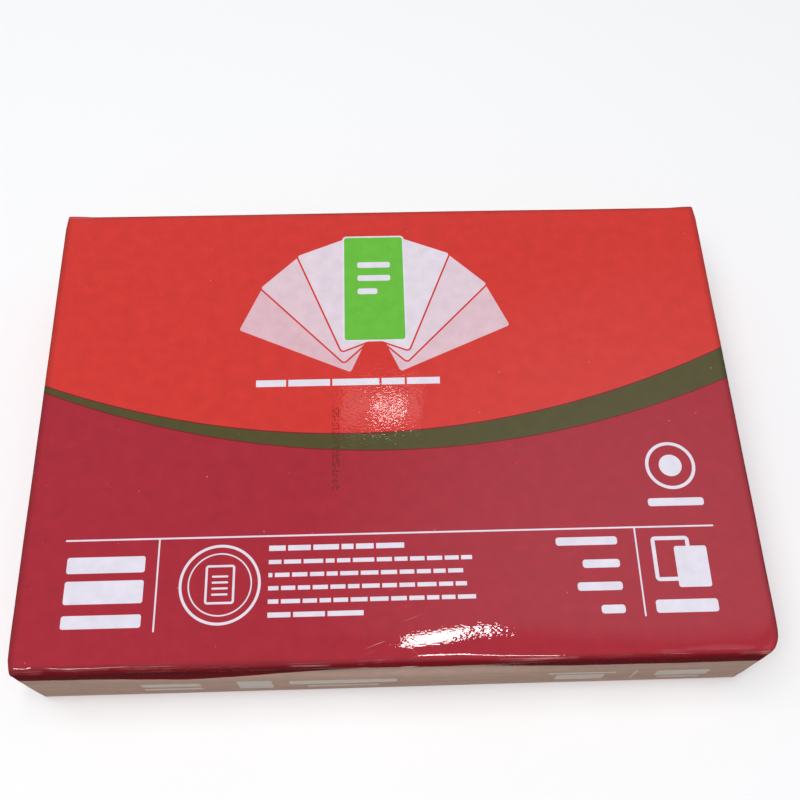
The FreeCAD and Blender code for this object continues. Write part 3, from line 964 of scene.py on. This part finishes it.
def printed_marks(t, place, groups):
    """The white print on the top face, as one mask: rules, plain bars, discs and page outlines."""

    def block(x, y, half_x, half_y, corner):
        return rounded(t, groups["block"], place, (x, y), (half_x, half_y), corner)

    def outline(x, y, half_x, half_y, corner, width):
        edge = rounded(t, groups["panel"], place, (x, y), (half_x, half_y), corner)
        return t.minus(t.math("ABSOLUTE", edge), width)

    def ring(x, y, radius, half_width):
        return t.group(
            groups["ring"], "Distance", Place=place, Centre=(x, y, 0), Radius=radius, Half_width=half_width
        )

    x, y, half_x, half_y = RULE
    shapes = [block(x, y, half_x, half_y, 0.3)]
    shapes += [block(x, y, DIVIDER_HALF, half, 0.3) for x, y, half in DIVIDERS]

    # Left of the first divider: three plain bars, one over the other.
    shapes += [block(-115.0, y, 15.5, half, 1.0) for y, half in ((-63.4, 3.3), (-74.4, 4.6), (-86.0, 2.6))]

    # Between the dividers: a ring with a page in it, and four short bars at the right.
    shapes += [ring(-69.5, -72.4, 15.6, 0.55), ring(-69.5, -72.4, 12.4, 0.28)]
    shapes += [outline(-69.5, -72.4, 5.4, 7.4, 0.8, 0.45)]
    shapes += [block(-69.5, y, 3.2, 0.4, 0.3) for y in (-69.2, -71.6, -74.0, -76.4)]
    for y, length in ((-58.4, 25.0), (-67.8, 15.0), (-77.0, 18.0), (-86.2, 9.5)):
        shapes.append(block(90.2 - length / 2, y, length / 2, 1.7, 1.2))

    # Right of the second divider: two overlapping page outlines over a plain bar.
    shapes += [outline(111.6, -66.4, 7.0, 8.4, 1.0, 0.8), block(119.4, -69.8, 6.6, 8.4, 1.0)]
    shapes += [block(114.8, -85.6, 12.4, 2.6, 1.2)]

    # Above them: a disc in a ring, and a bar.
    shapes += [ring(116.6, -26.6, 9.8, 0.7), ring(116.6, -26.6, 2.4, 2.4)]
    shapes += [block(116.6, -42.6, 11.6, 1.7, 1.2)]

    white = t.ink(t.nearest(shapes))
    for values in PRINT_LINES:
        mask = t.group(groups["lines"], "Mask", Place=place, **dict(zip(LINE_INPUTS, values)))
        white = t.math("MAXIMUM", white, mask)
    return white


def fanned_sheets(t, place, groups, colour):
    """Draws the fan of sheets over colour: paler and paler sheets, and a green one in front."""
    for number, tilt in enumerate(FAN_TILTS):
        angle = math.radians(tilt)
        reach = (FAN_NEAR + FAN_FAR) / 2
        centre = (FAN_PIVOT[0] - reach * math.sin(angle), FAN_PIVOT[1] + reach * math.cos(angle))
        half = (FAN_HALF_WIDTH, (FAN_FAR - FAN_NEAR) / 2)
        distance = rounded(t, groups["panel"], place, centre, half, FAN_CORNER, Turn=angle)
        whiteness = 0.62 + 0.38 * number / (len(FAN_TILTS) - 1)
        tint = GREEN if tilt == 0 else tuple(r + (w - r) * whiteness for r, w in zip(RED, WHITE))
        border = WHITE if tilt == 0 else RED
        colour = t.mix(t.ink(t.minus(distance, FAN_OUTLINE)), colour, border)
        colour = t.mix(t.ink(distance), colour, tint)
    x, y = FAN_PIVOT
    for up, half in FAN_BARS:
        bar = rounded(t, groups["block"], place, (x - FAN_BARS[0][1] + half, y + up), (half, 1.5), 1.0)
        colour = t.mix(t.ink(bar), colour, WHITE)
    return colour


def side_print(t, u, v, front_foot, back_foot, groups):
    """Pale shapes on the tan of both long sides, the same on each: plain bars and blocks."""
    on_back = t.math("GREATER_THAN", v, 0.0)
    along = t.times(u, t.math("MULTIPLY_ADD", on_back, -2.0, 1.0))
    up_front = t.minus(v, front_foot)
    up_back = t.minus(back_foot, v)
    up = t.node("ShaderNodeMix", {"Factor": on_back, "A": up_front, "B": up_back}).outputs[0]
    place = t.node("ShaderNodeCombineXYZ", {"X": along, "Y": up}).outputs[0]
    shapes = [
        rounded(t, groups["block"], place, (x, height), (half_x, half_y), corner)
        for x, height, half_x, half_y, corner in SIDE_SHAPES
    ]
    return t.ink(t.nearest(shapes))


def bump_along(t, u, place, width):
    """A smooth bump along the pack, as a mask: 1 at place, and next to nothing two widths away."""
    off = t.math("DIVIDE", t.minus(u, place), width)
    return t.math("EXPONENT", t.times(t.times(off, off), -1.0))


def strip_foot(t, u, sleeve):
    """Where across the flat sheet the front's strip of the top's colour ends."""
    low = sleeve.place_of_height(0, STRIP_FOOT)
    high = sleeve.place_of_height(STRIP_RISE_AT, STRIP_FOOT + STRIP_RISE)
    uneven_edge = t.noise(t.times(u, 0.05), 1.0, 2.0, 0.5, "1D")
    foot = t.math("MULTIPLY_ADD", uneven_edge, STRIP_RAGGED, low - STRIP_RAGGED / 2)
    foot = t.math("MULTIPLY_ADD", bump_along(t, u, STRIP_DROP_AT, STRIP_DROP_WIDTH), -STRIP_DROP, foot)
    return t.math("MULTIPLY_ADD", bump_along(t, u, STRIP_RISE_AT, STRIP_RISE_WIDTH), high - low, foot)


def painted_fold_shade(t, u, v):
    """Where painted shade darkens the top's colour: along both long folds and just before and over the end
    folds.
    """
    across = t.band(v, -HALF_WIDTH, HALF_WIDTH)
    skew = t.times(t.times(across, END_SKEW), t.math("GREATER_THAN", u, 0.0))
    past = t.minus(t.math("ADD", t.math("ABSOLUTE", u), skew), HALF_LENGTH)
    over_end = t.math("MINIMUM", t.band(past, *END_DARKENS), t.band(past, *END_LIGHTENS, 1.0, 0.0))
    turned_down = t.minus(v, t.band(u, *FRONT_SOONER))
    long_folds = t.math("MAXIMUM", t.band(turned_down, *FRONT_DARKENS), t.band(v, *BACK_DARKENS))
    return t.math("MAXIMUM", long_folds, over_end)


def painted_glint_line(t, u, v, strip_end):
    """A painted highlight: the broken white line of a glint on a crease, just above the foot of the front's
    strip.
    """
    off_line = t.math("ABSOLUTE", t.minus(t.minus(v, strip_end), GLINT_ABOVE))
    off_middle = t.math("ABSOLUTE", t.minus(u, GLINT_AT))
    across = t.band(off_line, *GLINT_HALF_WIDTH, 1.0, 0.0)
    near = t.times(across, t.band(off_middle, *GLINT_HALF_LENGTH, 1.0, 0.0))
    broken = t.band(t.noise(t.times(u, 0.3), 1.0, 3.0, 0.7, "1D"), 0.28, 0.42)
    return t.times(near, broken)


def print_colour(t, place, sleeve, groups):
    """The colour of the ink at each place on the flat sheet, with painted shade at the folds and a painted
    highlight.
    """
    parts = t.parts(place)
    u, v = parts["X"], parts["Y"]

    def above(parabola):
        """How far a place lies above one of the band's edges, negative under it."""
        curve, slope, height = parabola
        edge = t.math("MULTIPLY_ADD", t.math("MULTIPLY_ADD", u, curve, slope), u, height)
        return t.minus(v, edge)

    upper, lower = above(BAND_UPPER), above(BAND_LOWER)
    colour = t.mix(t.ink(upper), RED, OLIVE)
    colour = t.mix(t.ink(lower), colour, CRIMSON)
    for edge in (upper, lower):
        line = t.ink(t.minus(t.math("ABSOLUTE", edge), BAND_LINE / 2))
        colour = t.mix(line, colour, LINE_RED)

    colour = fanned_sheets(t, place, groups, colour)
    colour = t.mix(printed_marks(t, place, groups), colour, WHITE)

    # The sides: a strip of the top's colour, then tan down to the foot, then red on the underside.
    v_of = sleeve.v.mean(0)
    front_foot, back_foot = (float(v_of[sleeve.corners[name]]) for name in ("front base", "back base"))
    strip_end = strip_foot(t, u, sleeve)
    # Painted shade: the colour is darkened towards the long folds and over the end folds.
    colour = t.mix(painted_fold_shade(t, u, v), colour, t.mix(1.0, colour, FOLD_SHADE, blend="MULTIPLY"))
    # Painted highlight: a thin broken white glint just above the strip's foot.
    colour = t.mix(painted_glint_line(t, u, v, strip_end), colour, PAINTED_GLINT)
    low_back = back_foot - (STRIP_FOOT - BASE_ROLL / 2)
    tan = t.math("MAXIMUM", t.ink(t.minus(v, strip_end)), t.ink(t.minus(low_back, v)))
    pale = side_print(t, u, v, front_foot, back_foot, groups)
    colour = t.mix(tan, colour, t.mix(t.times(pale, 0.8), TAN, PALE_TAN))
    below_foot = [t.ink(t.minus(v, front_foot)), t.ink(t.minus(back_foot, v))]
    colour = t.mix(t.math("MAXIMUM", *below_foot), colour, RED)

    stamp = t.group(groups["stamp"], "Mask", Place=place, **STAMP)
    return t.mix(t.times(stamp, 0.9), colour, STAMP_INK)


def new_material(name):
    """A material without nodes, its tree, and each place on the flat sheet, in millimetres."""
    material = bpy.data.materials.new(name)
    material.use_nodes = True
    t = Tree(material.node_tree)
    t.tree.nodes.clear()
    flat = t.node("ShaderNodeUVMap", uv_map="flat_sheet").outputs[0]
    return material, t, t.vector("MULTIPLY", flat, (1 / MM, 1 / MM, 0))


def glossy_print(sleeve):
    """Printed paper under a clear glossy film."""
    material, t, place = new_material("glossy_printed_wrapper")
    groups = {
        "panel": panel_group(),
        "block": block_group(),
        "ring": ring_group(),
        "lines": print_lines_group(),
        "stamp": dotted_stamp_group(),
    }
    colour = print_colour(t, place, sleeve, groups)
    mottle = t.band(t.noise(place, 0.16, 3.0, 0.6), 0.3, 0.7, 0.93, 1.05)
    shade = t.node("ShaderNodeCombineColor", {"Red": mottle, "Green": mottle, "Blue": mottle}).outputs[0]
    colour = t.mix(1.0, colour, shade, blend="MULTIPLY")
    # Rubbed ink along the folds, with thin painted highlight lines.
    worn = t.group(fold_wear_and_sheen_group(), "Mask", Place=place, Amount=0.5)
    colour = t.mix(worn, colour, WORN_INK_AND_SHEEN)

    # The scratches are thickest round one place near the front fold, over twice as long a way along it.
    from_rubbed = t.vector("DISTANCE", t.vector("MULTIPLY", place, (0.5, 1.0, 1.0)), (-4.0, -84.0, 0))
    scuffs = t.group(scuff_group(), "Mask", Place=place, Amount=t.band(from_rubbed, 10.0, 30.0, 0.8, 0.1))
    colour = t.mix(t.times(scuffs, 0.35), colour, WORN_INK_AND_SHEEN)
    specks = t.group(specks_group(), "Mask", Place=place, Spacing=24.0, Size=0.22)
    colour = t.mix(t.times(specks, 0.4), colour, WORN_INK_AND_SHEEN)

    rough = t.math("MULTIPLY_ADD", t.noise(place, 0.05, 3.0, 0.6), 0.03, 0.01)
    rough = t.math("MULTIPLY_ADD", scuffs, 0.3, rough)
    rough = t.math("MULTIPLY_ADD", worn, 0.3, rough)

    # The film's relief is stronger on the sagging shoulder.
    v = t.parts(place)["Y"]
    on_shoulder = t.times(t.band(v, -82.0, -91.0), t.band(v, -101.0, -97.0))
    pebble = t.math("MULTIPLY_ADD", on_shoulder, 0.014, 0.015)
    height = t.group(laminate_group(), "Height", Place=place, Pebble=pebble, Ripple=0.03)
    bump = t.node("ShaderNodeBump", {"Height": height, "Distance": MM})

    shader = t.node(
        "ShaderNodeBsdfPrincipled", {"Base Color": colour, "Roughness": rough, "Normal": bump.outputs[0]}
    )
    shader.inputs["IOR"].default_value = 1.5
    t.put(shader.outputs[0], t.node("ShaderNodeOutputMaterial").inputs["Surface"])
    return material


def bare_paper():
    """The wrapper's unprinted inside, which shows at its cut edges."""
    material, t, place = new_material("bare_paper_edge")
    fibre = t.group(fibre_group(), "Value", Place=place)
    colour = t.mix(t.band(fibre, 0.3, 0.7), PAPER_DARK, PAPER_LIGHT)
    bump = t.node("ShaderNodeBump", {"Height": fibre, "Distance": 0.02 * MM})
    shader = t.node("ShaderNodeBsdfPrincipled", {"Base Color": colour, "Normal": bump.outputs[0]})
    shader.inputs["Roughness"].default_value = 0.85
    t.put(shader.outputs[0], t.node("ShaderNodeOutputMaterial").inputs["Surface"])
    return material


def make_floor():
    """A plain pale floor under the pack."""
    mesh = bpy.data.meshes.new("floor")
    corners = [(x * FLOOR_HALF, y * FLOOR_HALF, 0) for x, y in ((-1, -1), (1, -1), (1, 1), (-1, 1))]
    mesh.from_pydata(corners, [], [(0, 1, 2, 3)])
    floor = bpy.data.objects.new("floor", mesh)
    bpy.context.scene.collection.objects.link(floor)
    material = bpy.data.materials.new("pale_floor")
    material.use_nodes = True
    shader = material.node_tree.nodes["Principled BSDF"]
    shader.inputs["Base Color"].default_value = FLOOR_PAINT
    shader.inputs["Roughness"].default_value = 0.9
    shader.inputs["Specular IOR Level"].default_value = 0.2
    mesh.materials.append(material)
    floor.visible_glossy = False


def add_light(name, place, target, size, power, mirrored):
    """A soft rectangular light at place, in millimetres, that faces target."""
    data = bpy.data.lights.new(name, "AREA")
    data.shape = "RECTANGLE"
    data.size, data.size_y = (side * MM for side in size)
    data.energy = power
    light = bpy.data.objects.new(name, data)
    light.location = Vector(place) * MM
    back = (Vector(place) - Vector(target)).normalized()
    across = Vector((0, 1, 0)).cross(back).normalized()
    light.rotation_euler = Matrix((across, back.cross(across), back)).transposed().to_euler()
    light.visible_glossy = mirrored
    bpy.context.scene.collection.objects.link(light)


def light_the_scene():
    """Plain soft studio light from above, and small lamps that the film reflects."""
    world = bpy.data.worlds.new("studio")
    world.use_nodes = True
    t = Tree(world.node_tree)
    way = t.node("ShaderNodeTexCoord").outputs["Generated"]
    height = t.parts(way)["Z"]
    around = t.mix(t.band(height, 0.0, 0.45), FLOOR_SHADE, SKY)
    around = t.mix(t.band(t.vector("DOT_PRODUCT", way, GLOW_WAY), 0.95, 0.997), around, GLOW)
    seen = t.node("ShaderNodeLightPath").outputs["Is Camera Ray"]
    behind = t.mix(t.band(height, 0.0, 0.3), HORIZON, BACKDROP)
    t.put(t.mix(seen, around, behind), world.node_tree.nodes["Background"].inputs["Color"])
    bpy.context.scene.world = world
    for lamp in LAMPS:
        add_light(*lamp)


def make_camera():
    """The photograph's view of the pack."""
    data = bpy.data.cameras.new("camera")
    data.sensor_width = SENSOR
    data.lens = SENSOR * FOCAL_PIXELS / PICTURE_PIXELS
    data.shift_y = -AXIS_ABOVE_MIDDLE / PICTURE_PIXELS
    data.clip_start, data.clip_end = 0.01, 20
    camera = bpy.data.objects.new("camera", data)
    camera.location = Vector(CAMERA_PLACE) * MM
    camera.rotation_euler = Euler([math.radians(angle) for angle in CAMERA_TURN], "XYZ")
    bpy.context.scene.collection.objects.link(camera)
    bpy.context.scene.camera = camera


make_camera()
make_floor()
light_the_scene()
bpy.context.scene.view_settings.view_transform = "Standard"

sheet, sleeve = fold_the_sheet()
wrapper = make_wrapper(sheet, [glossy_print(sleeve), bare_paper()])
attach(wrapper, "root")
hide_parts(NODE)
